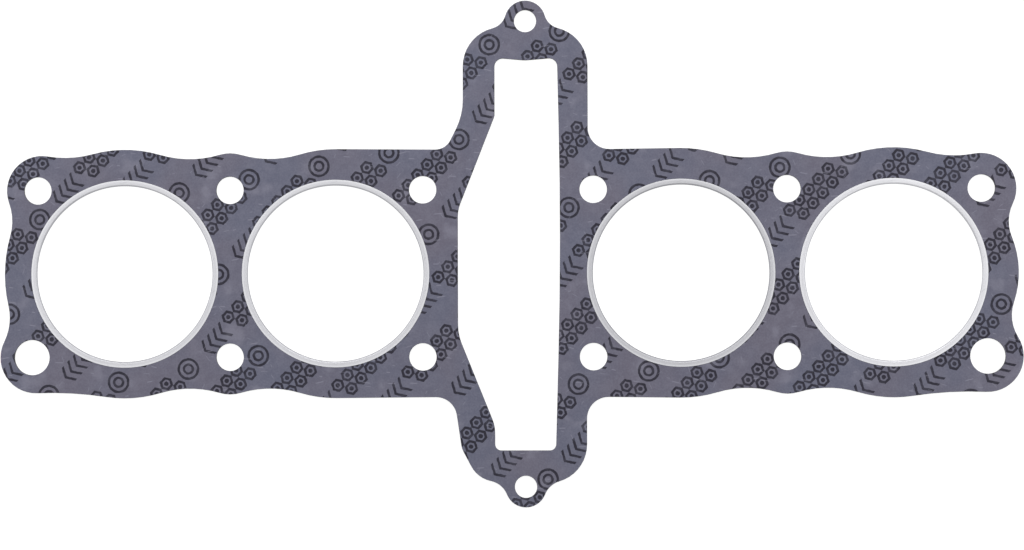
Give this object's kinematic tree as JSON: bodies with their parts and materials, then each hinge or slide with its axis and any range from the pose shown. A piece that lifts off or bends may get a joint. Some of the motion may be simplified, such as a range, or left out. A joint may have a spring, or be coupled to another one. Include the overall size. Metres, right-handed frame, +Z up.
{
  "type": "cylinder head gasket",
  "caption": "Flat head gasket for an air-cooled inline engine: a lobed facing sheet with stud holes and a chain tunnel, and a folded steel fire ring round each bore.",
  "frame": {"origin": "on the cylinders' centreline, midway between the two inner cylinders, on the plane that the gasket lies on", "axes": "+X along the row of cylinders towards the right-hand pair, +Y across the row towards the taller chain tower, +Z up through the sheet"},
  "size_m": [0.3913, 0.1939, 0.0014],
  "materials": {
    "facing_sheet": "satin",
    "ring_steel": "satin"
  },
  "bodies": {
    "root": {"gasket_sheet": "facing_sheet", "fire_ring_1": "ring_steel", "fire_ring_2": "ring_steel", "fire_ring_3": "ring_steel", "fire_ring_4": "ring_steel"}
  },
  "joints": []
}
